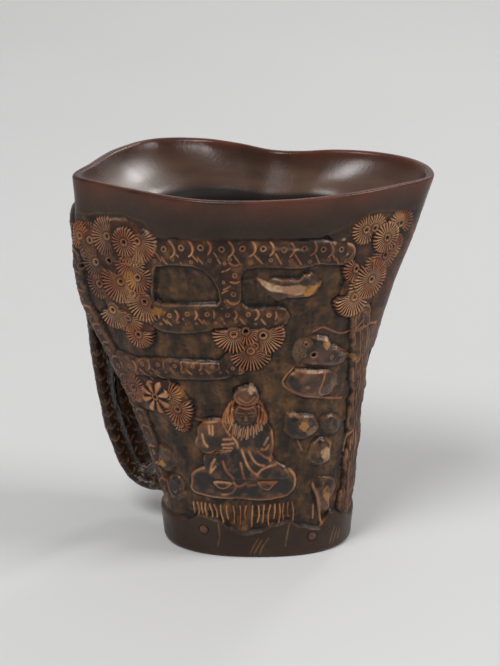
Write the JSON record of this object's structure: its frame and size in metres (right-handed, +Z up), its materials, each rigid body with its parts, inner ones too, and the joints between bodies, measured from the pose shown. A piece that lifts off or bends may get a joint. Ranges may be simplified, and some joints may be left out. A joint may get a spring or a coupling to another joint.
{
  "type": "libation cup",
  "caption": "Carved horn libation cup with a waisted flared mouth, deep well, pine and rock relief and a pierced branch handle.",
  "frame": {"origin": "centre of the oval foot, on the plane that the cup stands on", "axes": "+Z up; +X along the foot's long axis towards the pouring lobe; the handle is on the -X side, turned a little towards +Y"},
  "size_m": [0.116, 0.0776, 0.1226],
  "materials": {
    "dark_horn": "dark polished horn, glossy on the rim band and inside, matte in the carved ground",
    "red_horn": "dark reddish horn, softly polished on the high scales",
    "plug_horn": "dark horn, satin, worn by standing",
    "peg_horn": "brown horn end grain, satin"
  },
  "bodies": {
    "root": {"cup_body": "dark_horn", "foot_plug": "plug_horn", "branch_handle": "red_horn", "foot_pin_front_left": "peg_horn", "foot_pin_front_right": "peg_horn", "foot_pin_back_right": "peg_horn", "foot_pin_back_left": "peg_horn"}
  },
  "joints": []
}
